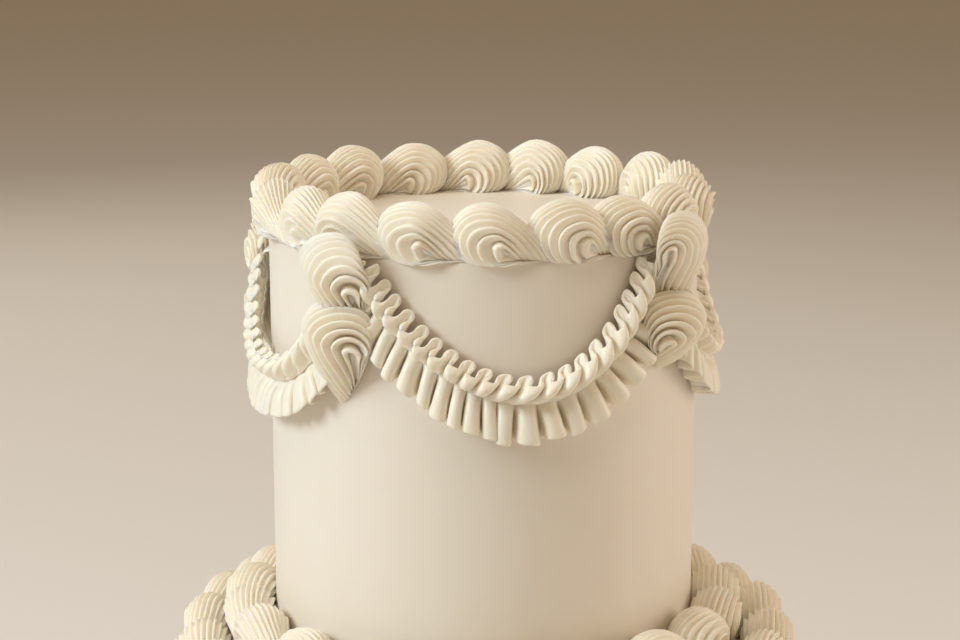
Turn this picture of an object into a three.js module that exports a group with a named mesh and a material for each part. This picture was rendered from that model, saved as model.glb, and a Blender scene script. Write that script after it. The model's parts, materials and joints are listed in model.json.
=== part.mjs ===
// A two-tier round wedding cake in ivory buttercream, piped in the old style with shell borders,
// shell columns and ruffled garlands. Millimetres, +Z up. The origin is the middle of the underside
// and the front is towards -Y. Degrees are counted from the front towards +X.
import * as THREE from 'three';

// Tiers
const upperRadius = 76.2;
const upperHeight = 162;
const lowerRadius = 107.5;
const lowerHeight = 140;
const edgeBevel = 1.2;
const tierSides = 48;
const gap = 0.35;
const ledge = lowerHeight;
const rim = lowerHeight + upperHeight;

// Shell border on the upper rim: heads point clockwise, tails counterclockwise seen from above
const rimAngles = [
  -18.2, 1, 22, 39.5, 60, 80, 101, 121.8, 144.5, 163.6, 181.7, 201.6, 223.6, 243, 262, 285, 305.5, 323,
];
const rimRadius = 72.4;
const rimShell = {
  reach: 12.2, tail: 29, halfWidth: 9.7, height: 18.3, eye: 5, roll: 0, ridges: 5, ridgeDepth: 0.075,
};
const rimOuter = 84;
const overRimShare = 0.4;
const tailTurn = 8;
const unevenness = 0.04;
const coverGap = 1;
const tuckStart = 1;
const pressedShare = 0.04;
const baseLift = 0.35;

// Shell columns: two shells piped down the wall, the lower one's head over the upper one's tail
const columnShell = {
  reach: 12, tail: 27, halfWidth: 10.5, height: 15.5, eye: 2.5, roll: 62, ridges: 5, ridgeDepth: 0.08,
};
const lowerColumnShell = { ...columnShell, ridges: 4 };
const upperColumns = [-105, -33.2, 48.3, 119, 187];
const lowerColumns = [-96.5, -24.5, 47.5, 119.5, 191.5];
const columnEyes = [1, 1, -1, 1, -1];
const columnHeads = [-14, -4, -4, -4, -4];
const lowerColumnHead = -13;
const columnStep = 21.5;
const columnHalf = 14.2;
const columnTailHalf = 8.5;

// Garlands between the columns: a ruffle above, a pleated frill below
const ruffle = { depth: 9.3, crestOut: 8, crestIn: 3.4, waistOut: 4.4, waistIn: 2.8 };
const frill = { depth: 13.1, topOut: 4, topIn: 2.8, hemOut: 8, hemIn: 3.8 };
const waistGap = 1;
const foldPitch = 6.2;
const lowerFoldPitch = 9.6;
const bendPower = 2.2;
const squeezedShare = 0.2;
const upperGarlands = [
  { from: -105, low: -67, to: -33.2, drop: 37, top: 1, bend: 0.86, tails: 43, lean: 4, reach: 0.85 },
  { from: -33.2, low: 10.5, to: 48.3, drop: 37.5, top: 1, bend: 0.86, tails: 33, lean: 4, reach: 0.9 },
  { from: 48.3, low: 84, to: 119, drop: 37, top: 1, bend: 0.8, tails: 33, lean: 4, reach: 0.85 },
  { from: 119, low: 153, to: 187, drop: 36, top: 1, bend: 0.8, tails: 33, lean: 4, reach: 0.85 },
  { from: 187, low: 221, to: 255, drop: 36, top: 1, bend: 0.8, tails: 43, lean: 4, reach: 0.85 },
];
const lowerGarland = { span: 72, drop: 44, top: 9, bend: 0.8, tails: 75, lean: 2, reach: 0.72 };

// Shell borders joined into rings: the ledge's lies free on the lower rim, the others lean on a wall
const ledgeBorder = {
  shells: 26, middle: 103.6, halfWidth: 9.4, height: 19, floor: ledge + gap, inner: 94.1,
};
const footBorder = {
  shells: 21, middle: 86, halfWidth: 9.3, height: 33.2, floor: ledge + gap,
  inner: upperRadius + gap, bulge: 18, footRadius: 93.4,
};
const baseBorder = {
  shells: 26, middle: 117.6, halfWidth: 9.8, height: 21, floor: 0,
  inner: lowerRadius + gap, bulge: 12, footRadius: 126,
};

const icing = { color: 0xefe6cf, roughness: 0.5, metalness: 0 };
const { sin, cos, abs, max, hypot, round } = Math;
const { clamp, lerp, degToRad, radToDeg } = THREE.MathUtils;

// Steps round a shell's body in degrees: the head's foot, over the top, down the tail and below it
const shellSteps = [-55, -2, 40, 80, 113, 142, 180, 235];

// A point of the cake from its radius, its angle and its height.
function at(radius, degrees, z) {
  const angle = degToRad(degrees);
  return new THREE.Vector3(radius * sin(angle), -radius * cos(angle), z);
}

// A repeatable draw between -1 and 1, different for each piece and use.
function uneven(piece, use) {
  const wave = sin(piece * 12.9898 + use * 78.233) * 43758.5453;
  return 2 * (wave - Math.floor(wave)) - 1;
}

// A closed body through rings of points. With tips, each end is closed by a fan to its tip;
// without them the last ring joins the first.
function loft(rings, tips) {
  const size = rings[0].length;
  const points = rings.flat();
  const faces = [];
  const spans = tips ? rings.length - 1 : rings.length;
  for (let i = 0; i < spans; i++) {
    const here = i * size;
    const there = ((i + 1) % rings.length) * size;
    for (let j = 0; j < size; j++) {
      const k = (j + 1) % size;
      faces.push(here + j, here + k, there + k);
      faces.push(here + j, there + k, there + j);
    }
  }
  if (tips) {
    const last = points.length - size;
    const [firstTip, lastTip] = [points.length, points.length + 1];
    points.push(...tips);
    for (let j = 0; j < size; j++) {
      const k = (j + 1) % size;
      faces.push(firstTip, k, j);
      faces.push(lastTip, last + j, last + k);
    }
  }
  return facingOut(points, faces);
}

// A geometry of these faces, turned so that they face outwards.
function facingOut(points, faces) {
  let volume = 0;
  for (let i = 0; i < faces.length; i += 3) {
    const [a, b, c] = [points[faces[i]], points[faces[i + 1]], points[faces[i + 2]]];
    volume += a.dot(new THREE.Vector3().crossVectors(b, c));
  }
  const geometry = new THREE.BufferGeometry().setFromPoints(points);
  geometry.setIndex(volume < 0 ? faces.reverse() : faces);
  return geometry;
}

function middleOf(ring) {
  const sum = ring.reduce((total, point) => total.add(point), new THREE.Vector3());
  return sum.divideScalar(ring.length);
}

// A tier is a drum whose top edge is broken by a small bevel.
function makeTier(radius, bottom, top) {
  const profile = [
    [0, bottom], [radius, bottom], [radius, top - edgeBevel], [radius - edgeBevel, top], [0, top],
  ];
  const points = profile.map(([x, y]) => new THREE.Vector2(x, y));
  return new THREE.LatheGeometry(points, tierSides).rotateX(Math.PI / 2);
}

// One piped shell lying on a flat base, in its own frame: x runs from the head at -reach to the
// tail's tip, y across, z up from the base. Its ridges are hoops round an axis that crosses the
// shell at the height of the eye, and all of them are drawn out towards the tail.
function shellPoint(shell, hoop, step, ridge) {
  const across = degToRad(hoop);
  const turn = degToRad(step);
  const drawn = max(0, -cos(turn)) ** 1.2;
  const size = 1 + ridge * shell.ridgeDepth * (1 - drawn) * cos(across) ** 0.5;
  const radius = size * cos(across);
  const pull = shell.tail - 0.3 * shell.reach;
  const x = pull * drawn - shell.reach * radius * cos(turn) * (1 - 0.7 * drawn);
  const y = shell.halfWidth * size * sin(across) * (1 - 0.82 * drawn);
  const up = (shell.height - shell.eye) * radius * sin(turn) * (1 - 0.5 * drawn);
  const roll = degToRad(shell.roll);
  const rolledUp = y * sin(roll) + up * cos(roll);
  const z = pressed(shell.eye * (1 - 0.6 * drawn) + rolledUp);
  return new THREE.Vector3(x, y * cos(roll) - up * sin(roll), baseLift + z);
}

// Icing that would reach past a surface is pressed nearly flat against it.
function pressed(depth) {
  return depth < 0 ? depth * pressedShare : depth;
}

// The next shell's head covers a shell's tail, so the tail is shortened to end at that head's front.
function tuckUnder(point, shell, cover) {
  const rise = (cover.shell.height - cover.shell.eye) * (1 + cover.shell.ridgeDepth);
  const across = (point.y - cover.y) / cover.shell.halfWidth;
  const up = max(0, point.z - cover.shell.eye) / rise;
  const bulge = cover.shell.reach * (1 + cover.shell.ridgeDepth) * max(0, 1 - across ** 2 - up ** 2) ** 0.6;
  const front = cover.x - bulge - coverGap;
  const behind = max(0, point.x - tuckStart);
  point.x = Math.min(point.x, tuckStart) + (behind * (front - tuckStart)) / (shell.tail - tuckStart);
  return point;
}

// A whole shell, with each of its points carried to its place on the cake.
function makeShell(shell, place, cover) {
  const finish = (point) => place(cover ? tuckUnder(point, shell, cover) : point);
  const rows = 2 * shell.ridges;
  const rings = [];
  for (let row = 1; row < rows; row++) {
    const hoop = -90 + (180 * row) / rows;
    const ridge = row % 2 ? 1 : -1;
    rings.push(shellSteps.map((step) => finish(shellPoint(shell, hoop, step, ridge))));
  }
  const tips = [-90, 90].map((hoop) => finish(shellPoint(shell, hoop, 90, 0)));
  return loft(rings, tips);
}

// The same shell a little larger or smaller, as a hand pipes it.
function varied(shell, piece) {
  return {
    ...shell,
    reach: shell.reach * (1 + unevenness * uneven(piece, 1)),
    halfWidth: shell.halfWidth * (1 + unevenness * uneven(piece, 2)),
    height: shell.height * (1 + unevenness * uneven(piece, 3)),
  };
}

function rimShellAngle(index) {
  const rounds = Math.floor(index / rimAngles.length);
  return rimAngles[index % rimAngles.length] + 360 * rounds;
}

// A rim shell lies along the rim with its tail turned a little outwards.
function makeRimShell(index) {
  const angle = rimShellAngle(index);
  const step = degToRad(rimShellAngle(index + 1) - angle) * rimRadius;
  const turn = degToRad(tailTurn);
  const cover = {
    shell: varied(rimShell, (index + 1) % rimAngles.length),
    x: step * cos(turn),
    y: -step * sin(turn),
  };
  const place = ({ x, y, z }) => {
    const along = x * cos(turn) - y * sin(turn);
    const across = x * sin(turn) + y * cos(turn);
    return at(rimRadius + across, angle + radToDeg(along / rimRadius), rim + gap + z);
  };
  return makeShell(varied(rimShell, index), place, cover);
}

// A place on a tier's wall: a shell's length runs down the wall and its height stands out from it.
// Over the rim it lies on the shells of the rim border instead, and is flatter.
function wallPlace(radius, degrees, z) {
  return (point) => {
    const height = z - point.x;
    const overRim = THREE.MathUtils.smoothstep(height, rim - 9, rim - 0.5);
    const surface = lerp(radius, rimOuter, overRim);
    const stand = (gap + point.z) * lerp(1, overRimShare, overRim);
    return at(surface + stand, degrees + radToDeg(point.y / radius), height);
  };
}

// The two shells of a column, the upper one tucked under the lower one's head.
function makeColumn(shell, radius, degrees, z, piece) {
  const roll = shell.roll * columnEyes[piece % columnEyes.length];
  const [upper, lower] = [0, 1].map((step) => ({ ...varied(shell, 2 * piece + step), roll }));
  const cover = { shell: lower, x: columnStep, y: 0 };
  return {
    upper: makeShell(upper, wallPlace(radius, degrees, z), cover),
    lower: makeShell(lower, wallPlace(radius, degrees, z - columnStep)),
  };
}

// How far below the tier's top a garland's bend hangs. At its ends the bend runs over the top.
function bendDrop(garland, degrees) {
  const half = degrees < garland.low ? garland.low - garland.from : garland.to - garland.low;
  const share = abs(degrees - garland.low) / (half * garland.bend);
  return garland.top + (garland.drop - garland.top) * (1 - share ** bendPower);
}

// The garland's upper edge follows the bend but stays under the tier's top.
function edgeDrop(garland, degrees) {
  return max(garland.top, bendDrop(garland, degrees));
}

// How steeply the bend climbs there, at most a little over one to one.
function bendSlope(garland, radius, degrees) {
  const reach = 0.5;
  const fall = bendDrop(garland, degrees + reach) - bendDrop(garland, degrees - reach);
  return clamp(-fall / (2 * degToRad(reach) * radius), -1.2, 1.2);
}

// Places along a garland's upper edge, two for each fold: one on its crest and one in the dip
// beside it, at equal lengths along the edge.
function garlandSteps(garland, radius, pitch) {
  const start = lerp(garland.low, garland.from, garland.reach);
  const end = lerp(garland.low, garland.to, garland.reach);
  const samples = 400;
  const walk = [];
  let length = 0;
  for (let i = 0; i <= samples; i++) {
    const degrees = lerp(start, end, i / samples);
    const drop = edgeDrop(garland, degrees);
    const before = walk.at(-1);
    if (before) length += hypot(degToRad(degrees - before.degrees) * radius, drop - before.drop);
    walk.push({ degrees, drop, length });
  }
  const halfFolds = 2 * round(length / pitch);
  const steps = [];
  for (let i = 0; i <= halfFolds; i++) {
    const place = walk.find((sample) => sample.length >= (0.9999 * length * i) / halfFolds);
    steps.push({ ...place, slope: bendSlope(garland, radius, place.degrees), crest: i % 2 === 1 });
  }
  return steps;
}

// A garland ends beside the column's shells, which narrow to a tail at the bottom. Pleats that
// lean further are squeezed against them.
function besideColumns(garland, radius, degrees, drop) {
  const narrowing = clamp((drop - garland.tails) / 15, 0, 1);
  const margin = radToDeg(lerp(columnHalf, columnTailHalf, narrowing) / radius);
  const inside = clamp(degrees, garland.from + margin, garland.to - margin);
  return lerp(inside, degrees, squeezedShare);
}

// How far below a step of the edge this depth is: the ruffle is as deep square to its edge
// everywhere, and the frill hangs straight down from it.
function dropAt(step, depth) {
  const square = Math.min(depth, ruffle.depth) * hypot(1, step.slope);
  return step.drop + square + max(0, depth - ruffle.depth);
}

// A strip of folds on the wall from one depth under the edge to another. Its pleats lean outwards
// where the edge is steep, and it starts and ends where its top meets the columns.
function foldedStrip(garland, steps, radius, top, levels) {
  const leaning = (step, depth) => {
    const lean = radToDeg((garland.lean * step.slope * depth) / (ruffle.depth * radius));
    return step.degrees + lean;
  };
  const isFree = (step) => {
    const degrees = leaning(step, levels[0].depth);
    const squeezed = besideColumns(garland, radius, degrees, dropAt(step, levels[0].depth));
    return abs(squeezed - degrees) < 0.01;
  };
  const edges = [levels[0], levels.at(-1)].map(({ depth }) => ({ depth, out: 0, dip: 0 }));
  const rings = steps.filter(isFree).map((step, i) =>
    [edges[0], ...levels, edges[1]].map(({ depth, out, dip }) => {
      const ragged = depth > ruffle.depth + waistGap ? 0.7 * uneven(i, 9) : 0;
      const drop = dropAt(step, depth) + ragged;
      const degrees = besideColumns(garland, radius, leaning(step, depth), drop);
      return at(radius + gap + (step.crest ? out : dip), degrees, top - drop);
    }));
  return loft(rings, [middleOf(rings[0]), middleOf(rings.at(-1))]);
}

const ruffleLevels = [
  { depth: 0, out: ruffle.crestOut, dip: ruffle.crestIn },
  { depth: ruffle.depth, out: ruffle.waistOut, dip: ruffle.waistIn },
];
const frillLevels = [
  { depth: ruffle.depth + waistGap, out: frill.topOut, dip: frill.topIn },
  { depth: ruffle.depth + frill.depth, out: frill.hemOut, dip: frill.hemIn },
];

// Along a joined border each shell climbs steeply over its head and sinks towards its tail.
const borderSteps = [
  { along: 0, size: 0.62 },
  { along: 0.12, size: 0.9 },
  { along: 0.38, size: 1 },
  { along: 0.75, size: 0.84 },
];

function makeBorder(border, section) {
  const rings = [];
  for (let shell = 0; shell < border.shells; shell++) {
    const grown = 1 + 0.5 * unevenness * uneven(shell, border.shells);
    for (const { along, size } of borderSteps) {
      const degrees = (360 * (shell + along)) / border.shells;
      rings.push(section(border, size * grown).map(([radius, z]) => at(radius, degrees, z)));
    }
  }
  return loft(rings);
}

// The cross-section of a border that lies free on an edge: an arch on a flat base.
function freeSection({ middle, halfWidth, height, floor, inner }, size) {
  const side = halfWidth * lerp(1, size, 0.5);
  const top = height * size;
  return [
    [max(inner, middle - side * 0.85), floor],
    [max(inner, middle - side), floor + top * 0.45],
    [middle - side * 0.45, floor + top * 0.92],
    [middle + side * 0.4, floor + top * 0.97],
    [middle + side, floor + top * 0.45],
    [middle + side * 0.85, floor],
  ];
}

// The cross-section of a border that leans on the wall behind it.
function leaningSection({ middle, halfWidth, height, floor, inner, bulge, footRadius }, size) {
  const side = halfWidth * lerp(1, size, 0.5);
  const top = floor + height - bulge * (1 - size);
  return [
    [inner, floor],
    [inner, top - 8],
    [middle - side * 0.3, top],
    [middle + side * 0.55, top - 3],
    [middle + side, top - 10],
    [footRadius, floor],
  ];
}

function meshOf(name, geometry) {
  const mesh = new THREE.Mesh(geometry, new THREE.MeshStandardMaterial(icing));
  mesh.name = name;
  return mesh;
}

const cake = new THREE.Group();
cake.add(meshOf('lower_tier', makeTier(lowerRadius, 0, ledge)));
cake.add(meshOf('upper_tier', makeTier(upperRadius, ledge + gap, rim)));

rimAngles.forEach((_, index) => {
  cake.add(meshOf(`rim_shell_${index + 1}`, makeRimShell(index)));
});

upperColumns.forEach((degrees, index) => {
  const column = makeColumn(columnShell, upperRadius, degrees, rim + columnHeads[index], index);
  cake.add(meshOf(`column_${index + 1}_upper_shell`, column.upper));
  cake.add(meshOf(`column_${index + 1}_lower_shell`, column.lower));
});

upperGarlands.forEach((garland, index) => {
  const steps = garlandSteps(garland, upperRadius, foldPitch);
  const strip = (levels) => foldedStrip(garland, steps, upperRadius, rim, levels);
  cake.add(meshOf(`ruffle_${index + 1}`, strip(ruffleLevels)));
  cake.add(meshOf(`frill_${index + 1}`, strip(frillLevels)));
});

lowerColumns.forEach((degrees, index) => {
  const piece = index + upperColumns.length;
  const column = makeColumn(lowerColumnShell, lowerRadius, degrees, ledge + lowerColumnHead, piece);
  cake.add(meshOf(`lower_column_${index + 1}_upper_shell`, column.upper));
  cake.add(meshOf(`lower_column_${index + 1}_lower_shell`, column.lower));
});

// A lower garland is one body, its ruffle and frill joined at the waist.
lowerColumns.forEach((from, index) => {
  const { span } = lowerGarland;
  const garland = { ...lowerGarland, from, low: from + span / 2, to: from + span };
  const steps = garlandSteps(garland, lowerRadius, lowerFoldPitch);
  const levels = [...ruffleLevels, frillLevels.at(-1)];
  const strip = foldedStrip(garland, steps, lowerRadius, ledge, levels);
  cake.add(meshOf(`lower_garland_${index + 1}`, strip));
});

cake.add(meshOf('foot_border', makeBorder(footBorder, leaningSection)));
cake.add(meshOf('ledge_border', makeBorder(ledgeBorder, freeSection)));
cake.add(meshOf('base_border', makeBorder(baseBorder, leaningSection)));

export default cake;
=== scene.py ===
# Two-tier wedding cake in ivory buttercream with piped shells, columns and ruffled garlands.
import json
import math

import bpy
import numpy as np
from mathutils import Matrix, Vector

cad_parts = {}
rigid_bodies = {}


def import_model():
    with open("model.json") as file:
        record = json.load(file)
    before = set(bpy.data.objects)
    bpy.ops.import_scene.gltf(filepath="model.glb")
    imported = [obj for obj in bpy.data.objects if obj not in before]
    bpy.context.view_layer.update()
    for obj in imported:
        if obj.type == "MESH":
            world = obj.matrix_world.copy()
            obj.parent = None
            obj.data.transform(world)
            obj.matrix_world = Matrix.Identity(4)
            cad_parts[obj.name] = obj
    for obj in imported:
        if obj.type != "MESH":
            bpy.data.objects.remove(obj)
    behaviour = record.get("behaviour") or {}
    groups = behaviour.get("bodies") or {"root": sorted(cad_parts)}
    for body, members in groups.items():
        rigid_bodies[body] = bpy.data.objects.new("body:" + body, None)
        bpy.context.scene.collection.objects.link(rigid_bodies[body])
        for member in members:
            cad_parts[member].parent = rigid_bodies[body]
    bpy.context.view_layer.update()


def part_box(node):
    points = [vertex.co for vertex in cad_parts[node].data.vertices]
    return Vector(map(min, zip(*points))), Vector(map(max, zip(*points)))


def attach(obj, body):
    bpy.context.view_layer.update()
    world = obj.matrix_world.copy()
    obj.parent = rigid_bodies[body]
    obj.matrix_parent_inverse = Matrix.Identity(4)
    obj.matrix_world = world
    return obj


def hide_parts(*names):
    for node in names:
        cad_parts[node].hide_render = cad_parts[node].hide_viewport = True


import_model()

mm = 0.001  # sizes below are in millimetres, meshes in metres

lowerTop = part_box("lower_tier")[1] / mm
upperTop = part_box("upper_tier")[1] / mm
ledgeHeight = lowerTop.z
lowerRadius = lowerTop.x
rimHeight = upperTop.z
upperRadius = upperTop.x
print("frame loaded: rim at", round(rimHeight, 1), "mm, ledge at", round(ledgeHeight, 1), "mm")


# Materials

def linearColour(hexCode):
    parts = [int(hexCode[i:i + 2], 16) / 255 for i in (1, 3, 5)]
    return [c / 12.92 if c <= 0.04045 else ((c + 0.055) / 1.055) ** 2.4 for c in parts] + [1.0]


def addNode(tree, kind, inputs=None, **settings):
    # a socket given as an input is linked, anything else is its value
    node = tree.nodes.new(kind)
    for name, value in settings.items():
        setattr(node, name, value)
    for name, value in (inputs or {}).items():
        if isinstance(value, bpy.types.NodeSocket):
            tree.links.new(value, node.inputs[name])
        else:
            node.inputs[name].default_value = value
    return node


# What both finishes share: butter whipped with sugar is waxy, and light goes about two
# millimetres into it, the red part furthest.
buttercream = {
    "ior": 1.46,
    "glowDepth": 2,
    "glowColours": (1.0, 0.68, 0.38),
    "mottleDetail": 3.0,
    "mottleRoughness": 0.55,
    "mottleRange": (0.3, 0.7),  # the noise values between which the roughness changes
    "bumpDetail": 2.0,
}

# Meringue buttercream smoothed with a steel scraper: satin, with faint spreader waves and a few
# tiny air holes, which keep the wall from looking like plastic.
scrapedButtercream = {
    "name": "scrapedButtercream",
    # painted shade in part: the scraped buttercream is a little darker than the piped, partly its
    # duller scraped tone and partly painted shade, as the wall and top lie in shade beside piping
    # that catches the light
    "colour": "#F1EADD",
    "mottleColour": "#EEE5D5",
    "mottleSize": 28,
    "roughness": 0.46,
    "roughnessSpread": 0.08,
    "glow": 0.12,
    "waveSize": 16,
    "waveHeight": 0.12,
    "grainSize": 0.9,
    "grainHeight": 0.012,
    "holeSpacing": 3.4,
    "holeWidth": 0.26,
    "holeDepth": 0.12,
}

# The same buttercream straight from a star or petal tube: a little yellower where it lies thick,
# with fine drag lines and more air holes from the bag.
pipedButtercream = {
    "name": "pipedButtercream",
    # painted light in part: the piped buttercream is a little brighter than the scraped, partly its
    # own tone and partly painted light, as its rounded shells and folds catch more light than the
    # wall
    "colour": "#FAF3E7",
    "mottleColour": "#F6ECD7",
    "mottleSize": 9,
    "roughness": 0.38,
    "roughnessSpread": 0.1,
    "glow": 0.4,
    "waveSize": 4,
    "waveHeight": 0.1,
    "grainSize": 0.6,
    "grainHeight": 0.02,
    "holeSpacing": 2.6,
    "holeWidth": 0.3,
    "holeDepth": 0.16,
}


def makeButtercream(look):
    material = bpy.data.materials.new(look["name"])
    material.use_nodes = True
    tree = material.node_tree
    tree.nodes.clear()
    place = addNode(tree, "ShaderNodeTexCoord").outputs["Object"]
    perMetre = lambda size: 1 / (size * mm)

    mottle = addNode(tree, "ShaderNodeTexNoise", {
        "Vector": place, "Scale": perMetre(look["mottleSize"]),
        "Detail": buttercream["mottleDetail"], "Roughness": buttercream["mottleRoughness"]})
    colour = addNode(tree, "ShaderNodeMix", {
        0: mottle.outputs["Fac"], 6: linearColour(look["mottleColour"]),
        7: linearColour(look["colour"])}, data_type="RGBA")
    low, high = buttercream["mottleRange"]
    roughness = addNode(tree, "ShaderNodeMapRange", {
        "Value": mottle.outputs["Fac"], "From Min": low, "From Max": high,
        "To Min": look["roughness"] - look["roughnessSpread"] / 2,
        "To Max": look["roughness"] + look["roughnessSpread"] / 2})

    waves = addNode(tree, "ShaderNodeTexNoise", {
        "Vector": place, "Scale": perMetre(look["waveSize"]), "Detail": buttercream["bumpDetail"]})
    waveBump = addNode(tree, "ShaderNodeBump", {
        "Height": waves.outputs["Fac"], "Distance": look["waveHeight"] * mm, "Strength": 1.0})
    grain = addNode(tree, "ShaderNodeTexNoise", {
        "Vector": place, "Scale": perMetre(look["grainSize"]), "Detail": buttercream["bumpDetail"]})
    grainBump = addNode(tree, "ShaderNodeBump", {
        "Height": grain.outputs["Fac"], "Distance": look["grainHeight"] * mm,
        "Normal": waveBump.outputs["Normal"]})
    cells = addNode(tree, "ShaderNodeTexVoronoi", {
        "Vector": place, "Scale": perMetre(look["holeSpacing"])})
    holes = addNode(tree, "ShaderNodeMapRange", {
        "Value": cells.outputs["Distance"], "From Min": 0.0,
        "From Max": look["holeWidth"] / look["holeSpacing"]})
    holeBump = addNode(tree, "ShaderNodeBump", {
        "Height": holes.outputs["Result"], "Distance": look["holeDepth"] * mm,
        "Normal": grainBump.outputs["Normal"]})

    shader = addNode(tree, "ShaderNodeBsdfPrincipled", {
        "Base Color": colour.outputs[2], "Roughness": roughness.outputs["Result"],
        "IOR": buttercream["ior"], "Subsurface Weight": look["glow"],
        "Subsurface Radius": buttercream["glowColours"],
        "Subsurface Scale": buttercream["glowDepth"] * mm, "Normal": holeBump.outputs["Normal"]})
    addNode(tree, "ShaderNodeOutputMaterial", {"Surface": shader.outputs["BSDF"]})
    return material


scraped = makeButtercream(scrapedButtercream)
piped = makeButtercream(pipedButtercream)
print("materials made")


# Meshes

def onCake(radius, degrees, height):
    angle = np.radians(degrees)  # from the front of the cake towards +x
    return np.stack([radius * np.sin(angle), -radius * np.cos(angle), height], axis=-1)


def gridFaces(rows, columns, first=0, closed=False):
    # the faces of a grid of points, its columns joined round where it is closed
    faces = []
    for row in range(rows - 1):
        for column in range(columns if closed else columns - 1):
            a = first + row * columns + column
            b = first + row * columns + (column + 1) % columns
            faces.append((a, b, b + columns, a + columns))
    return faces


def addPiece(name, points, faces, material):
    mesh = bpy.data.meshes.new(name)
    mesh.from_pydata((np.asarray(points) * mm).tolist(), [], faces)
    mesh.shade_smooth()
    mesh.materials.append(material)
    mesh.update()
    piece = bpy.data.objects.new(name, mesh)
    bpy.context.scene.collection.objects.link(piece)
    return piece


def finishPiece(piece, slotName, *nodes):
    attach(piece, "root")
    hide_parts(*nodes)


def smoothStep(value, low, high):
    share = np.clip((value - low) / (high - low), 0, 1)
    return share * share * (3 - 2 * share)


def wobble(rng, waves, *places):
    # a smooth random field between about -1 and 1 over any number of coordinates
    total = 0
    for _ in range(waves):
        angle = rng.uniform(0, 2 * math.pi)
        for place in places:
            angle = angle + place * rng.uniform(-1, 1)
        total = total + np.sin(angle)
    return total / math.sqrt(waves)


# Tiers

tierLook = {
    "sides": 288,
    "edge": 0.9,  # radius of the top edge
    "edgeSteps": 5,
    "wallRows": 70,
    "topRings": 26,
    "underRings": 8,
    "middle": 0.2,  # radius of the innermost rings
    "flat": 0.01,  # a point this near the top lies on its flat part
    "wave": 0.16,  # depth of the scraper's waves on the wall and the top
    "waves": 12,
    "waveTurns": 6,  # how often they change round the tier
    "waveRise": 14,  # and over what height
    "waveBand": 2,  # how far in from the wall they move points sideways
    "edgeWave": 0.25,  # how far the top edge dips
    "edgeWaves": 9,
    "edgeTurns": 16,
    "edgeBand": 3,
}


def tierProfile(radius, bottom, top):
    # from the middle of the underside out, up the wall, over the edge and in to the top's middle
    edge, middle = tierLook["edge"], tierLook["middle"]
    under = [(r, bottom) for r in np.linspace(middle, radius, tierLook["underRings"])]
    wall = [(radius, z) for z in np.linspace(bottom + 1, top - edge, tierLook["wallRows"])]
    turn = np.linspace(0, math.pi / 2, tierLook["edgeSteps"] + 2)[1:-1]
    over = [(radius - edge + edge * math.cos(t), top - edge + edge * math.sin(t)) for t in turn]
    flat = [(r, top) for r in np.linspace(radius - edge, middle, tierLook["topRings"])]
    return np.array(under + wall + over + flat)


def makeTier(name, radius, bottom, top, node, seed):
    rng = np.random.default_rng(seed)
    profile = tierProfile(radius, bottom, top)
    sides = tierLook["sides"]
    degrees = np.arange(sides) * 360 / sides
    r, d = np.meshgrid(profile[:, 0], degrees, indexing="ij")
    z = np.repeat(profile[:, 1:], sides, axis=1)
    turn = np.radians(d)
    waveTurns, edgeTurns = tierLook["waveTurns"], tierLook["edgeTurns"]
    places = (np.cos(turn) * waveTurns, np.sin(turn) * waveTurns, z / tierLook["waveRise"])
    hollow = -tierLook["wave"] * (1 + wobble(rng, tierLook["waves"], *places)) / 2
    places = (np.cos(turn) * edgeTurns, np.sin(turn) * edgeTurns)
    dip = -tierLook["edgeWave"] * (1 + wobble(rng, tierLook["edgeWaves"], *places)) / 2
    onTop = z > top - tierLook["flat"]
    onEdge = z > top - tierLook["edge"]
    r = r + np.where(r > radius - tierLook["waveBand"], hollow, 0)
    atWall = r > radius - tierLook["edgeBand"]
    z = z + np.where(onTop, hollow, 0) + np.where(onEdge, dip, 0) * atWall
    points = onCake(r, d, np.maximum(z, bottom)).reshape(-1, 3)

    # the two small holes in the middle are closed with fans
    faces = gridFaces(len(profile), sides, closed=True)
    count = len(points)
    last = count - sides
    ends = [(k + 1) % sides for k in range(sides)]
    faces += [(count, ends[k], k) for k in range(sides)]
    faces += [(count + 1, last + k, last + ends[k]) for k in range(sides)]
    points = np.vstack([points, [[0, 0, bottom], [0, 0, points[last, 2]]]])
    piece = addPiece(name, points, faces, scraped)
    finishPiece(piece, "smooth_buttercream", node)


makeTier("lowerTierIcing", lowerRadius, 0, ledgeHeight, "lower_tier", 1)
makeTier("upperTierIcing", upperRadius, ledgeHeight, rimHeight, "upper_tier", 2)
print("tiers made")


# Shells. A shell's ridges are hoops round an axis across it, low down at the two eyes, and all
# of them are drawn out to the tail. Its own frame: x from the head to the tail, y across, z up.

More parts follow.
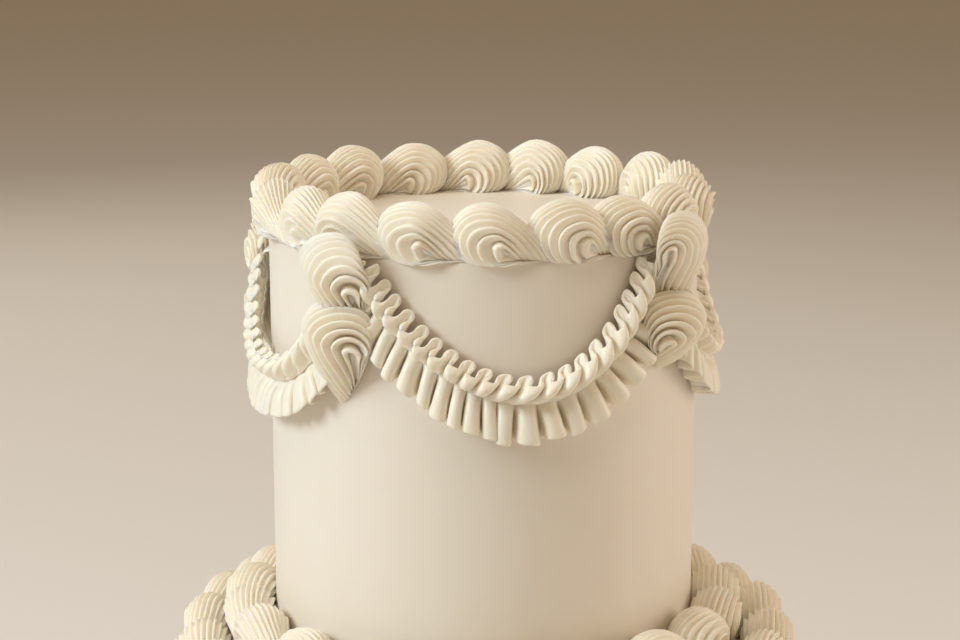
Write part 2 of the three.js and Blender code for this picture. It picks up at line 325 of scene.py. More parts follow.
shellLook = {
    "ridges": 16,
    "pointsPerRidge": 7,
    "steps": 38,  # points round a hoop
    "firstStep": -78,  # degrees round a hoop, from under the head over to under the tail
    "lastStep": 252,
    "eyeCrowding": -0.1,  # above 0 the ridges crowd at the eyes, below 0 in the crown
    "crestWidth": 1.7,  # how broad and round a ridge is in the crown, and at the eyes
    "eyeCrestWidth": 3.4,
    "ridgeDepth": 0.22,
    "crownDepth": 0.65,  # share of the depth in the crown, what the eyes add to it ...
    "eyeDepth": 0.6,
    "tailFade": 0.35,  # ... and what the tail takes off
    "crestMiddle": 0.6,  # share of a ridge's height that is the plain form's surface
    "eyeDimple": 2.6,  # how deep an eye is pressed in
    "dimpleFrom": 0.86,
    "eyeHook": 0.5,  # how far the ridges hook round near an eye, in ridge widths,
    "hookFrom": 45,  # how many degrees from the crown that starts,
    "hookMiddle": 1,  # and where round a hoop it changes side, in radians
    "ridgeWander": 0.3,  # how far the ridges stray, and how soon across and along them
    "wanderAcross": 2.5,
    "wanderAlong": 1.5,
    "unevenness": 0.03,  # how much the whole form bulges here and there
    "unevenAcross": 1.4,
    "fieldWaves": 4,
    "tailReach": 0.3,  # share of the head's reach that is left at the tail's end
    "tailNarrow": 0.84,  # shares by which it is narrower and flatter there, above and below
    "tailFlat": 0.65,
    "tailFlatBelow": 0.85,
    "narrowing": 0.8,  # below 1 it narrows early
    "underside": 1.5,  # how much deeper than its foot the form goes before it is pressed
    "tuck": 0,  # how far the sides pull in below
    "unroll": 0.6,  # share of the roll that the tail loses
    "pressed": 0.05,  # share that stays of what would go into the icing below
    "skirtFade": 0.6,  # how far below its foot the form has its skirt's full depth
}


def shellPoints(form, seed):
    rng = np.random.default_rng(seed)
    look = {**shellLook, **form}
    rows = look["ridges"] * look["pointsPerRidge"]
    row = np.linspace(0, look["ridges"], rows + 1)[1:-1]
    step = np.radians(np.linspace(look["firstStep"], look["lastStep"], look["steps"]))
    row, step = np.meshgrid(row, step, indexing="ij")

    # the ridges wander a little, and hook round near the eyes
    spacing = math.pi / look["ridges"]
    hoop = 2 * row / look["ridges"] - 1
    hoop = math.pi / 2 * ((1 + look["eyeCrowding"]) * hoop - look["eyeCrowding"] * hoop ** 3)
    fromCrown = np.degrees(np.abs(hoop))
    near = np.clip((fromCrown - look["hookFrom"]) / (90 - look["hookFrom"]), 0, 1)
    hook = look["eyeHook"] * np.sin(math.pi * near) ** 2 * (step - look["hookMiddle"]) / math.pi
    drift = look["ridgeWander"] * np.cos(hoop) * wobble(
        rng, look["fieldWaves"], hoop * look["wanderAcross"], step * look["wanderAlong"])
    hoop = hoop + (drift + np.sign(hoop) * hook) * spacing

    side = np.abs(np.sin(hoop))
    drawn = np.maximum(0, -np.cos(step)) ** look["draw"]  # 0 in the head, 1 at the tail's end
    broader = (look["eyeCrestWidth"] - look["crestWidth"]) * side * (1 - drawn)
    crest = 1 - np.abs(np.cos(math.pi * row)) ** (look["crestWidth"] + broader)
    depth = look["crownDepth"] + look["eyeDepth"] * side ** 3
    depth = look["ridgeDepth"] * depth * (1 - look["tailFade"] * drawn)
    uneven = wobble(rng, look["fieldWaves"], hoop * look["unevenAcross"], step)
    size = 1 + depth * (crest - look["crestMiddle"]) + look["unevenness"] * uneven

    # the hoops' middles: high in the crown, low at the eye and drifting towards the tail there
    trail = look["drift"] * (1 - np.cos(hoop)) * (1 - drawn)
    reach = look["reach"] * size * np.cos(hoop)
    pull = look["tail"] - look["tailReach"] * look["reach"]
    pull = pull * (1 - look["eyePull"] * side ** 2)
    x = trail + pull * drawn - reach * np.cos(step) * (1 - (1 - look["tailReach"]) * drawn)
    dimple = look["eyeDimple"] * smoothStep(side, look["dimpleFrom"], 1.0) * (1 - drawn)
    narrower = 1 - look["tailNarrow"] * drawn ** look["narrowing"]
    y = (look["halfWidth"] * size - dimple) * np.sin(hoop) * narrower
    y = y * (1 - look["tuck"] * np.maximum(0, -np.sin(step)))
    middle = (look["eye"] + look["lift"] * np.cos(hoop)) * (1 - look["settle"] * drawn)
    above = (look["height"] - look["eye"] - look["lift"]) * size * np.cos(hoop)
    above = above * (1 - look["tailFlat"] * drawn)
    below = (look["eye"] + look["lift"] + look["underside"]) * size * np.cos(hoop) ** 0.5
    below = below * (1 - look["tailFlatBelow"] * drawn)
    up = middle + np.where(np.sin(step) > 0, above, below) * np.sin(step)
    up = np.maximum(up, -look["sink"]) - look["eye"]

    # rolled about its own length, less so at the tail, then pressed to what it lies on
    roll = math.radians(look["roll"]) * (1 - look["unroll"] * drawn)
    across = y * np.cos(roll) - up * np.sin(roll)
    stand = look["stand"] + y * np.sin(roll) + up * np.cos(roll)
    skirt = look["skirt"] * smoothStep(-stand, 0, look["skirtFade"])
    stand = np.where(stand < 0, stand * look["pressed"] - skirt, stand)
    points = np.stack([x, across, stand], axis=-1)

    poles = []
    roll = math.radians(look["roll"])
    for sign in (-1, 1):
        y = sign * (look["halfWidth"] - look["eyeDimple"])
        high = look["stand"] + y * math.sin(roll)
        if high <= 0:
            high = high * look["pressed"] - look["skirt"]
        poles.append([look["drift"], y * math.cos(roll), high])
    return points.reshape(-1, 3), np.array(poles), row.shape


def shellFaces(shape, first=0):
    # the grid of a shell closed round its hoops, with a fan to each eye
    rows, columns = shape
    faces = gridFaces(rows, columns, first, closed=True)
    last = first + (rows - 1) * columns
    pole = first + rows * columns
    for k in range(columns):
        n = (k + 1) % columns
        faces.append((pole, first + n, first + k))
        faces.append((pole + 1, last + k, last + n))
    return [face[::-1] for face in faces]  # so that they point outwards


def makeShell(name, form, seed):
    points, poles, shape = shellPoints(form, seed)
    return addPiece(name, np.vstack([points, poles]), shellFaces(shape), piped)


# Shells piped round a circle. The tree lays one at each point of a straight line, each a little
# different, and bends the line into the ring.

ringLook = {
    "shellSeeds": (11, 23, 37),  # each ring takes its shells from this many variants
    "sizeSpread": 0.03,
    "handWave": 1.1,  # how far the hand strays, and over what length
    "handWaveLength": 11,
}


def makeRingTree():
    tree = bpy.data.node_groups.new("pipeShellsRound", "GeometryNodeTree")
    tree.is_modifier = True
    tree.interface.new_socket("Geometry", in_out="INPUT", socket_type="NodeSocketGeometry")
    kinds = {
        "Shells": "NodeSocketCollection",
        "Radius": "NodeSocketFloat",
        "Height": "NodeSocketFloat",
        "Turn": "NodeSocketFloat",
        "Size Spread": "NodeSocketFloat",
        "Turn Spread": "NodeSocketFloat",
        "Hand Wave": "NodeSocketFloat",
        "Seed": "NodeSocketInt",
        "Icing": "NodeSocketMaterial",
    }
    for name, kind in kinds.items():
        tree.interface.new_socket(name, in_out="INPUT", socket_type=kind)
    tree.interface.new_socket("Geometry", in_out="OUTPUT", socket_type="NodeSocketGeometry")
    given = addNode(tree, "NodeGroupInput").outputs

    def calculate(operation, first, second=0.0):
        node = addNode(tree, "ShaderNodeMath", {0: first, 1: second}, operation=operation)
        return node.outputs[0]

    smaller = calculate("SUBTRACT", 1.0, given["Size Spread"])
    larger = calculate("ADD", 1.0, given["Size Spread"])
    least = addNode(tree, "ShaderNodeCombineXYZ", {"X": smaller, "Y": smaller, "Z": smaller})
    most = addNode(tree, "ShaderNodeCombineXYZ", {"X": larger, "Y": larger, "Z": larger})
    sizes = addNode(tree, "FunctionNodeRandomValue", {
        0: least.outputs[0], 1: most.outputs[0], "Seed": given["Seed"]}, data_type="FLOAT_VECTOR")
    leastTurn = calculate("SUBTRACT", given["Turn"], given["Turn Spread"])
    mostTurn = calculate("ADD", given["Turn"], given["Turn Spread"])
    turns = addNode(tree, "FunctionNodeRandomValue", {
        2: leastTurn, 3: mostTurn, "Seed": given["Seed"]}, data_type="FLOAT")
    angles = addNode(tree, "ShaderNodeCombineXYZ", {"Z": turns.outputs[1]})
    which = addNode(tree, "FunctionNodeRandomValue", {
        4: 0, 5: len(ringLook["shellSeeds"]) - 1, "Seed": given["Seed"]}, data_type="INT")
    shells = addNode(tree, "GeometryNodeCollectionInfo", {
        "Collection": given["Shells"], "Separate Children": True, "Reset Children": True})
    laid = addNode(tree, "GeometryNodeInstanceOnPoints", {
        "Points": given["Geometry"], "Instance": shells.outputs[0], "Pick Instance": True,
        "Instance Index": which.outputs[2], "Rotation": angles.outputs[0],
        "Scale": sizes.outputs[0]})
    joined = addNode(tree, "GeometryNodeRealizeInstances", {"Geometry": laid.outputs[0]})

    place = addNode(tree, "GeometryNodeInputPosition").outputs[0]
    unsteady = addNode(tree, "ShaderNodeTexNoise", {
        "Vector": place, "Scale": 1 / (ringLook["handWaveLength"] * mm), "Detail": 1.0})
    centred = addNode(tree, "ShaderNodeVectorMath", {
        0: unsteady.outputs["Color"], 1: (0.5, 0.5, 0.5)}, operation="SUBTRACT")
    shift = addNode(tree, "ShaderNodeVectorMath", {
        0: centred.outputs[0], "Scale": given["Hand Wave"]}, operation="SCALE")
    shifted = addNode(tree, "ShaderNodeVectorMath", {0: place, 1: shift.outputs[0]},
                      operation="ADD")
    parts = addNode(tree, "ShaderNodeSeparateXYZ", {0: shifted.outputs[0]}).outputs
    angle = calculate("DIVIDE", parts[0], given["Radius"])
    radius = calculate("SUBTRACT", given["Radius"], parts[1])
    bentX = calculate("MULTIPLY", radius, calculate("SINE", angle))
    bentY = calculate("MULTIPLY", calculate("MULTIPLY", radius, calculate("COSINE", angle)), -1.0)
    bentZ = calculate("MAXIMUM", calculate("ADD", parts[2], given["Height"]), 0.0)
    bent = addNode(tree, "ShaderNodeCombineXYZ", {"X": bentX, "Y": bentY, "Z": bentZ})
    ring = addNode(tree, "GeometryNodeSetPosition", {
        "Geometry": joined.outputs[0], "Position": bent.outputs[0]})
    whole = addNode(tree, "GeometryNodeRealizeInstances", {"Geometry": ring.outputs[0]})
    iced = addNode(tree, "GeometryNodeSetMaterial", {
        "Geometry": whole.outputs[0], "Material": given["Icing"]})
    addNode(tree, "NodeGroupOutput", {0: iced.outputs[0]})
    return tree


ringTree = makeRingTree()


def makeRing(name, form, ring, nodes):
    shells = bpy.data.collections.new(name + "Shells")
    for variant, (drift, seed) in enumerate(zip(form["drifts"], ringLook["shellSeeds"])):
        shell = makeShell(f"{name}Shell{variant}", {**form, "drift": drift}, seed + ring["seed"])
        bpy.context.scene.collection.objects.unlink(shell)
        shells.objects.link(shell)
    outward = ring.get("outward", {})
    line = [(math.radians(degrees) * ring["radius"], -outward.get(n, 0), 0)
            for n, degrees in enumerate(ring["angles"])]
    piece = addPiece(name, line, [], piped)
    modifier = piece.modifiers.new("pipeShellsRound", "NODES")
    modifier.node_group = ringTree
    inputs = {
        "Shells": shells,
        "Radius": ring["radius"] * mm,
        "Height": ring["height"] * mm,
        "Turn": math.radians(ring["turn"]),
        "Size Spread": ringLook["sizeSpread"],
        "Turn Spread": math.radians(ring["turnSpread"]),
        "Hand Wave": ringLook["handWave"] * mm,
        "Seed": ring["seed"],
        "Icing": piped,
    }
    for socket in ringTree.interface.items_tree:
        if socket.in_out == "INPUT" and socket.name in inputs:
            modifier[socket.identifier] = inputs[socket.name]
    bpy.context.view_layer.update()
    depsgraph = bpy.context.evaluated_depsgraph_get()
    plain = bpy.data.meshes.new_from_object(piece.evaluated_get(depsgraph))
    piece.modifiers.clear()
    piece.data = plain
    plain.shade_smooth()
    for shell in list(shells.objects):
        bpy.data.objects.remove(shell)
    bpy.data.collections.remove(shells)
    finishPiece(piece, "piped_buttercream", *nodes)
    print(name, "made,", sum(len(face.vertices) - 2 for face in plain.polygons), "triangles")


def evenAngles(count, first):
    return [first + 360 / count * n for n in range(count)]


def numbered(stem, count):
    return [f"{stem}_{n + 1}" for n in range(count)]


bedding = 0.8  # how deep a border sits in the icing below it

rimForm = {
    "reach": 13,  # from the hoops' middle to the front of the head
    "tail": 23.5,  # and to the end of the tail
    "halfWidth": 10,
    "height": 19.8,
    "eye": 5.3,  # height of the eyes
    "lift": 4,  # and how much higher the hoops' middles are in the crown
    "stand": 5.3,  # height of the line that the shell rolls about
    "roll": 0,
    "sink": 0.4,  # how far down the underside goes at most
    "skirt": 0.1,  # and how much deeper it is pressed where it would go into the icing
    "tuck": 0.26,
    "draw": 2.4,  # above 1 the tail starts late
    "settle": 0.95,  # how far the tail comes down, all the way at 1
    "eyePull": 0.45,  # how much sooner the ridges near the eyes end
    "drifts": (0, 6, 4.5),  # how far the eyes trail towards the tail, for each variant
}
rimRing = {
    "angles": (-18.2, 1, 22, 39.5, 60, 80, 101, 121.8, 144.5, 163.6, 181.7, 201.6, 223.6, 243,
               262, 285, 305.5, 323),  # as in the photo, going on evenly where it hides them
    "radius": 72.4, "height": rimHeight - bedding, "turn": -7, "turnSpread": 2.5, "seed": 4,
    "outward": {14: 1.8, 15: 1.8},  # two shells at the left stand further out
}
makeRing("rimBorder", rimForm, rimRing, numbered("rim_shell", len(rimRing["angles"])))

ledgeForm = {
    **rimForm, "halfWidth": 10.3, "height": 20.6, "ridges": 14, "steps": 30,
    "drifts": (0.5, 5, 3.5), "tailNarrow": 0.6,
}
ledgeAngles = evenAngles(26, 4)
ledgeShift = 1.3  # the ring lies a little to the right of the tier's middle
ledgeRing = {
    "angles": ledgeAngles, "radius": 103.6, "height": ledgeHeight - bedding, "turn": -8,
    "turnSpread": 4, "seed": 8,
    "outward": {n: ledgeShift * math.sin(math.radians(degrees))
                for n, degrees in enumerate(ledgeAngles)},
}
makeRing("ledgeBorder", ledgeForm, ledgeRing, ["ledge_border"])

# the foot border stands above the ledge border's inner side, on a skirt of icing
footForm = {**ledgeForm, "height": 18.5, "skirt": 11.5}
footRing = {
    "angles": (-64.7, -45, -27, -9, 10, 28.2, 43.8, 61.6, 79, 96, 113, 130, 147, 164, 181, 198,
               215, 232, 248, 264, 280),
    "radius": 86, "height": ledgeHeight + 12, "turn": -8, "turnSpread": 3, "seed": 6,
}
makeRing("footBorder", footForm, footRing, ["foot_border"])

baseForm = {**ledgeForm, "halfWidth": 9.2, "height": 20, "skirt": 0}
baseRing = {
    "angles": evenAngles(26, 2), "radius": 117, "height": 0, "turn": -4, "turnSpread": 2,
    "seed": 9,
}
makeRing("baseBorder", baseForm, baseRing, ["base_border"])


# Columns: two shells piped down the wall, lying on their sides with one eye towards the viewer.
# For each column: where it stands round the cake, the side its eye lies to, and for the upper and
# the lower shell how far below the top it lies, how far its eye trails, its tail and its turn.

columnForm = {
    "reach": 12.5, "halfWidth": 11, "height": 20, "eye": 4.5, "stand": 2.5, "lift": 2,
    "skirt": 0.6, "sink": 3, "roll": 58, "settle": 0.9, "draw": 1.8, "eyePull": 0.18,
    "ridgeDepth": 0.28, "eyeDepth": 0.9, "tailNarrow": 0.7, "eyeDimple": 1.4,
}
upperColumns = [
    {"degrees": -105, "eye": 1, "heads": (-14, -35.5), "drifts": (5, 3), "tails": (27, 25),
     "turns": (8, 12)},
    {"degrees": -33.2, "eye": 1, "heads": (-4.8, -26.5), "drifts": (6.4, 3.2), "tails": (27, 26),
     "turns": (12, 19)},
    {"degrees": 48.3, "eye": -1, "heads": (-0.5, -27.5), "drifts": (-3.5, 2), "tails": (30, 15),
     "turns": (20, 24)},
    {"degrees": 119, "eye": 1, "heads": (-4, -25.5), "drifts": (5, 3), "tails": (27, 25),
     "turns": (12, 16)},
    {"degrees": 187, "eye": -1, "heads": (-4, -25.5), "drifts": (4, 3), "tails": (27, 25),
     "turns": (10, 16)},
]
lowerColumns = [
    {"degrees": degrees, "eye": eye, "heads": (-13, -34.5), "drifts": (4, 3), "tails": (27, 26),
     "turns": (10, 16)} for degrees, eye in zip(evenAngles(5, -96.5), (1, 1, -1, 1, -1))
]
rimOverhang = {
    "radius": 84,  # where a shell lies on the rim border
    "share": 0.45,  # how much of its thickness it keeps there
    "from": 9,  # how far below the rim it starts to, and has done so
    "to": 0.5,
}


def onWall(points, radius, degrees, height, rim=None):
    # x runs down the wall, y round it and z out of it
    z = height - points[:, 0]
    surface = np.full(len(points), float(radius))
    stand = points[:, 2]
    if rim is not None:
        over = smoothStep(z, rim - rimOverhang["from"], rim - rimOverhang["to"])
        surface = surface + (rimOverhang["radius"] - radius) * over
        stand = stand * (1 - over * (1 - rimOverhang["share"]))
    return onCake(surface + stand, degrees + np.degrees(points[:, 1] / radius), z)


def makeColumns(name, columns, radius, top, nodePrefix, rim=None):
    # the radius is in whole millimetres, because the shells' seeds come from it too
    points, faces, nodes = [], [], []
    count = 0
    for number, column in enumerate(columns):
        for step, label in enumerate(("upper", "lower")):
            form = {**columnForm, "drift": column["drifts"][step], "tail": column["tails"][step]}
            form["roll"] = columnForm["roll"] * column["eye"]
            body, poles, shape = shellPoints(form, 100 * radius + 2 * number + step)
            body = np.vstack([body, poles])
            turn = math.radians(column["turns"][step] * column["eye"])
            along, across = body[:, 0].copy(), body[:, 1].copy()
            body[:, 0] = along * math.cos(turn) + across * math.sin(turn)
            body[:, 1] = across * math.cos(turn) - along * math.sin(turn)
            head = top + column["heads"][step]
            points.append(onWall(body, radius, column["degrees"], head, rim))
            faces += shellFaces(shape, count)
            count += len(body)
            nodes.append(f"{nodePrefix}column_{number + 1}_{label}_shell")
    piece = addPiece(name, np.vstack(points), faces, piped)
    finishPiece(piece, "piped_buttercream", *nodes)
    print(name, "made,", sum(len(face) - 2 for face in faces), "triangles")


makeColumns("upperColumns", upperColumns, int(upperRadius), rimHeight, "", rim=rimHeight)
makeColumns("lowerColumns", lowerColumns, int(lowerRadius), ledgeHeight, "lower_")


# Garlands: a ribbon from a petal tube, folded to and fro. The ruffle's free edge is at its top and
# the frill's at its hem, and the two meet at the pinched waist.

garlandLook = {
    "pathPoints": 1200,
    "stretch": 1.1,  # how far the path goes on past the garland's ends ...
    "highest": -1,  # ... and how near the tier's top it comes there
    "lowerDrop": 9,  # how far below the ledge the lower garlands hang
    "pointsPerFold": 12,
    "pointsPerLowerFold": 10,
    "rufflePitch": 6.3,
    "frillPitch": 6.1,
    "ruffleThickness": 1.5,
    "frillThickness": 1.1,
    "pitchSpread": 0.14,  # how much the folds differ in width, reach and tilt
    "reachSpread": 0.12,
    "tiltSpread": 0.1,
    "raggedness": 0.45,  # how uneven the frill's hem is
    "raggedWaves": 6,
    "raggedPerFold": 9,
    "waist": 8.8,  # how far below a garland's upper edge it is pinched
    "pressed": 9,  # the length at each end over which the folds are pressed flatter
    "pressedRelief": 0.3,  # share of their relief that is left at the very end
    "tightening": 0.08,  # how much shorter the frill hangs where its garland is steep
}
# For each garland: the angle of its lowest point, how many degrees it reaches to the left and the
# right of it, how far it drops, and the powers of its curve on the left and the right. The first
# has narrower folds, pressed flatter.
upperGarlands = [
    {"low": -67, "left": 34, "right": 28, "drop": 39.5, "powers": (2.2, 2.9), "frillPitch": 4.7,
     "relief": 0.5},
    {"low": 10.5, "left": 37.5, "right": 31, "drop": 37.5, "powers": (1.9, 2.2)},
    {"low": 84, "left": 30, "right": 29, "drop": 37, "powers": (2.1, 2.2)},
    {"low": 153, "left": 30, "right": 29, "drop": 36, "powers": (2.2, 2.1)},
    {"low": 221, "left": 30, "right": 29, "drop": 36, "powers": (2, 2.2)},
]
lowerGarlands = [
    {"low": low, "left": 31, "right": 31, "drop": 44, "powers": (2.1, 2.2)}
    for low in evenAngles(5, -60.5)
]


def makeStations(*table):
    names = ("depth", "inside", "outside", "bulge", "pinch", "fullness")
    return [dict(zip(names, values)) for values in table]


# Down each ribbon: how far from the garland's upper edge, how far out a fold's inside and outside
# lie, how much its loops widen, how narrow its grooves are pinched and how full its folds are.
ruffleStations = makeStations(
    (0.0, 1.4, 6.8, 1.15, 0, 0.9),
    (0.6, 1.5, 7.6, 1.05, 0, 0.8),
    (1.7, 2.0, 8.7, 0.7, 0.1, 0.7),
    (3.2, 2.8, 9.4, 0.4, 0.15, 0.65),
    (4.9, 3.2, 9.0, 0.2, 0.15, 0.62),
    (6.5, 3.3, 7.7, 0, 0.15, 0.6),
    (7.8, 3.4, 5.8, 0, 0.1, 0.7),
    (8.5, 3.8, 4.6, 0, 0, 1),
    (9.3, 4.3, 5.1, 0, 0, 1),
)
frillStations = makeStations(
    (8.6, 2.6, 3.4, 0, 0, 0.6),
    (10.4, 2.2, 4.2, 0, 0.2, 0.5),
    (11.9, 0.9, 5.6, 0.1, 0.35, 0.62),
    (14.4, 0.4, 7.0, 0.25, 0.45, 0.68),
    (17.4, 0.4, 7.6, 0.3, 0.45, 0.68),
    (20.6, 0.6, 8.0, 0.4, 0.5, 0.65),
    (22.4, 0.8, 8.4, 0.5, 0.5, 0.62),
)

# By the garland's slope: how far along it a ribbon lies over for each millimetre down, for the
# loops of the ruffle, its body and the frill, and how far a fold's outside hangs below its inside.
slopes = (-1.6, -0.8, 0, 0.6, 1.3)
leans = {
    "loop": (0.1, -0.2, -0.75, -1.0, -1.1),
    "ruffle": (0.8, 0.2, -0.75, -1.0, -1.05),
    "frill": (0.45, 0.38, 0.05, -0.08, -0.1),
    "loopDrop": (5.6, 4.8, 2.7, 2.2, 2.2),
}


def leanOf(kind, slope):
    return np.interp(slope, slopes, leans[kind])


def garlandPath(garland, radius):
    # a fine walk along the garland's upper edge in the unrolled wall: across, up, length, slope
    low, left, right = garland["low"], garland["left"], garland["right"]
    stretch = garlandLook["stretch"]
    degrees = np.linspace(low - left * stretch, low + right * stretch, garlandLook["pathPoints"])
    onLeft = degrees < low
    share = np.abs(degrees - low) / np.where(onLeft, left, right)
    up = -garland["drop"] * (1 - share ** np.where(onLeft, *garland["powers"]))
    up = np.minimum(garlandLook["highest"], up)
    across = np.radians(degrees) * radius
    length = np.concatenate([[0], np.cumsum(np.hypot(np.diff(across), np.diff(up)))])
    return across, up, length, np.gradient(up, across)


def ribbon(garland, radius, top, look, seed):
    rng = np.random.default_rng(seed)
    across, up, length, slope = garlandPath(garland, radius)
    isFrill = look["kind"] == "frill"
    perFold, stations = look["pointsPerFold"], look["stations"]
    folds = int(round(length[-1] / garland.get(look["kind"] + "Pitch", look["pitch"])))
    widths = 1 + garlandLook["pitchSpread"] * rng.uniform(-1, 1, folds)
    marks = np.concatenate([[0], np.cumsum(widths / widths.sum())]) * length[-1]
    reaches = 1 + garlandLook["reachSpread"] * rng.uniform(-1, 1, folds + 1)
    tilts = garlandLook["tiltSpread"] * rng.uniform(-1, 1, folds + 1)

    # along the ribbon: the fold, its place on the path, how far it stands out and leans
    turns = np.arange(folds * perFold + 1) / perFold
    walk = np.interp(turns, np.arange(folds + 1), marks)
    reach = np.interp(turns, np.arange(folds + 1), reaches)
    tilt = np.interp(turns, np.arange(folds + 1), tilts)
    ragged = garlandLook["raggedness"] * wobble(
        rng, garlandLook["raggedWaves"], turns * garlandLook["raggedPerFold"])
    phase = 2 * math.pi * turns
    steep = np.interp(walk, length, slope)
    fromEnd = np.minimum(walk, length[-1] - walk)
    least = garlandLook["pressedRelief"]
    press = least + (1 - least) * smoothStep(fromEnd, 0, garlandLook["pressed"])
    waist = garlandLook["waist"]
    loopDrop = 0 if isFrill else leanOf("loopDrop", steep)

    rows = []
    first, last = stations[0]["depth"], stations[-1]["depth"]
    for station in stations:
        share = (station["depth"] - first) / (last - first)
        outward = (0.5 - 0.5 * np.cos(phase)) ** station["fullness"]
        drop = loopDrop * outward * (1 - share) * reach
        lie = leanOf("ruffle", steep) * min(station["depth"], waist) + leanOf("loop", steep) * drop
        depth = station["depth"] + drop
        if isFrill:
            own = leanOf("frill", steep) + tilt
            hang = (station["depth"] - waist) / np.sqrt(1 + own ** 2)
            hang = hang * (1 - garlandLook["tightening"] * np.abs(steep))
            lie = lie + own * hang
            depth = waist + hang - ragged * share ** 3
        shift = station["bulge"] * np.sin(2 * phase) - station["pinch"] * np.sin(phase)
        at = walk + shift + lie + tilt * drop
        angle = np.arctan(np.interp(at, length, slope))
        past = at - np.clip(at, 0, length[-1])
        x = np.interp(at, length, across) + np.cos(angle) * past + np.sin(angle) * depth
        z = top + np.interp(at, length, up) + np.sin(angle) * past - np.cos(angle) * depth
        relief = (station["outside"] - station["inside"]) * garland.get("relief", 1)
        out = station["outside"] - relief + relief * outward * reach * press
        rows.append(onCake(radius + out, np.degrees(x / radius), z))
    return np.array(rows)


def makeRibbons(name, garlands, radius, top, look, nodes):
    points, faces = [], []
    count = quads = 0
    for number, garland in enumerate(garlands):
        rows = ribbon(garland, radius, top, look, look["seed"] + number)
        down, along = rows.shape[:2]
        points.append(rows.reshape(-1, 3))
        faces += gridFaces(down, along, count)
        count += down * along
        quads += 2 * (down - 1) * (along - 1) + 2 * (down + along - 2)  # both sides and the rim
    piece = addPiece(name, np.vstack(points), faces, piped)
    thick = piece.modifiers.new("thickness", "SOLIDIFY")
    thick.thickness = look["thickness"] * mm
    thick.offset = 0
    thick.use_even_offset = False
    soft = piece.modifiers.new("soft", "SUBSURF")
    soft.levels = soft.render_levels = 1
    finishPiece(piece, "piped_buttercream", *nodes)
    print(name, "made,", 8 * quads, "triangles")


upperRuffleLook = {
    "kind": "ruffle", "stations": ruffleStations, "pitch": garlandLook["rufflePitch"], "seed": 40,
    "pointsPerFold": garlandLook["pointsPerFold"], "thickness": garlandLook["ruffleThickness"],
}
upperFrillLook = {
    "kind": "frill", "stations": frillStations, "pitch": garlandLook["frillPitch"], "seed": 60,
    "pointsPerFold": garlandLook["pointsPerFold"], "thickness": garlandLook["frillThickness"],
}
lowerRuffleLook = {
    **upperRuffleLook, "pointsPerFold": garlandLook["pointsPerLowerFold"], "seed": 80,
}
lowerFrillLook = {
    **upperFrillLook, "pointsPerFold": garlandLook["pointsPerLowerFold"], "seed": 90,
}
makeRibbons("upperRuffles", upperGarlands, upperRadius, rimHeight, upperRuffleLook,
            numbered("ruffle", len(upperGarlands)))
makeRibbons("upperFrills", upperGarlands, upperRadius, rimHeight, upperFrillLook,
            numbered("frill", len(upperGarlands)))

lowerNodes = numbered("lower_garland", len(lowerGarlands))
lowerEdge = ledgeHeight - garlandLook["lowerDrop"]
makeRibbons("lowerRuffles", lowerGarlands, lowerRadius, lowerEdge, lowerRuffleLook, lowerNodes)
makeRibbons("lowerFrills", lowerGarlands, lowerRadius, lowerEdge, lowerFrillLook, lowerNodes)


# Floor, light and camera. Lengths of the floor and the lights are in metres.

floorLook = {"radius": 14, "sides": 96, "below": 0.0001, "colour": "#E9E6E1", "roughness": 0.9}


def makeFloor():
    turns = [2 * math.pi * k / floorLook["sides"] for k in range(floorLook["sides"])]
    radius, height = floorLook["radius"] / mm, -floorLook["below"] / mm
    points = [(radius * math.cos(turn), radius * math.sin(turn), height) for turn in turns]
    paint = bpy.data.materials.new("paleFloor")
    paint.use_nodes = True
    shader = paint.node_tree.nodes["Principled BSDF"]
    shader.inputs["Base Color"].default_value = linearColour(floorLook["colour"])
    shader.inputs["Roughness"].default_value = floorLook["roughness"]
    floor = addPiece("paleFloor", points, [tuple(range(len(points)))], paint)


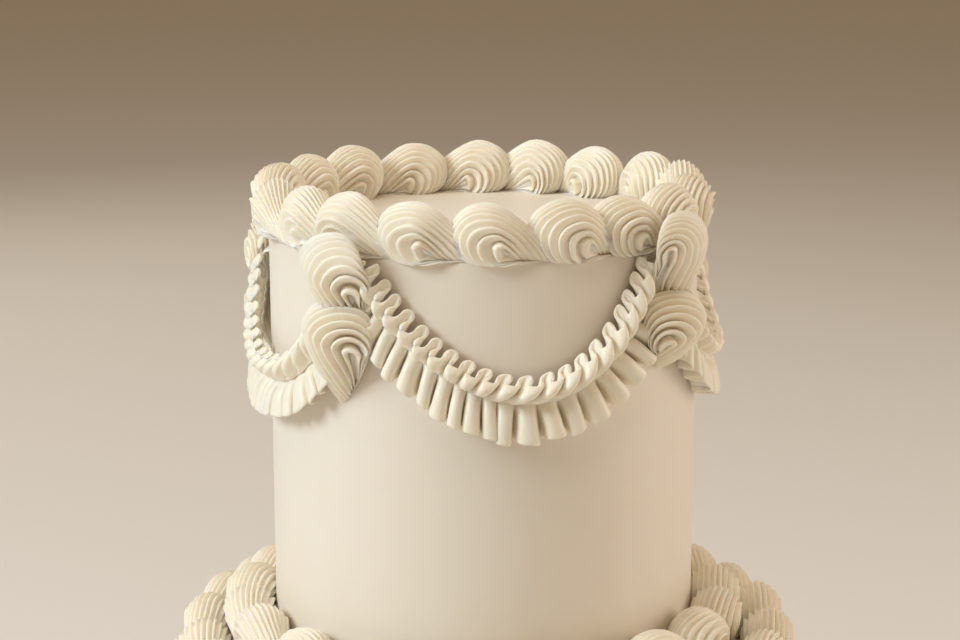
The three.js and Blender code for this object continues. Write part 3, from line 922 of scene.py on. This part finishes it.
# a large window at the upper left gives the photo's soft key light, the rest only fill
lights = {
    "windowLight": {"place": (-1.68, -0.76, 1.26), "size": 0.95, "power": 29.5,
                    "colour": "#E8F5FD"},
    "sideFill": {"place": (1.7, 0.15, 0.55), "size": 1.2, "power": 11.5, "colour": "#FFF4E9"},
    "topLight": {"place": (-0.15, -0.5, 1.8), "size": 1.3, "power": 9.2, "colour": "#FFF8EF"},
    "backLight": {"place": (-0.6, 1.5, 1.1), "size": 1.2, "power": 4.2, "colour": "#FFF4E4"},
}
lightTarget = (0, 0, 0.22)
worldLook = {"colour": "#FFDBB0", "strength": 0.27}


def lookAt(thing, target):
    away = thing.location - type(thing.location)(target)
    thing.rotation_euler = away.to_track_quat("Z", "Y").to_euler()


def makeLights():
    for name, look in lights.items():
        light = bpy.data.lights.new(name, "AREA")
        light.shape = "DISK"
        light.size = look["size"]
        light.energy = look["power"]
        light.color = linearColour(look["colour"])[:3]
        lamp = bpy.data.objects.new(name, light)
        lamp.location = look["place"]
        bpy.context.scene.collection.objects.link(lamp)
        lookAt(lamp, lightTarget)
    world = bpy.data.worlds.new("studio")
    bpy.context.scene.world = world
    world.use_nodes = True
    background = world.node_tree.nodes["Background"]
    background.inputs["Color"].default_value = linearColour(worldLook["colour"])
    background.inputs["Strength"].default_value = worldLook["strength"]


cameraLook = {
    "place": (-1.2, -793.2, 138.0),  # in mm, its height above the rim
    "downwards": 12.36,
    "lens": 84.7,
    "sensorWidth": 36,
}


def makeCamera():
    data = bpy.data.cameras.new("camera")
    data.lens = cameraLook["lens"]
    data.sensor_width = cameraLook["sensorWidth"]
    camera = bpy.data.objects.new("camera", data)
    x, y, aboveRim = cameraLook["place"]
    camera.location = (x * mm, y * mm, (rimHeight + aboveRim) * mm)
    camera.rotation_euler = (math.radians(90 - cameraLook["downwards"]), 0, 0)
    bpy.context.scene.collection.objects.link(camera)
    bpy.context.scene.camera = camera


makeFloor()
makeLights()
makeCamera()
bpy.context.scene.view_settings.view_transform = "Standard"
print("floor, lights and camera made")
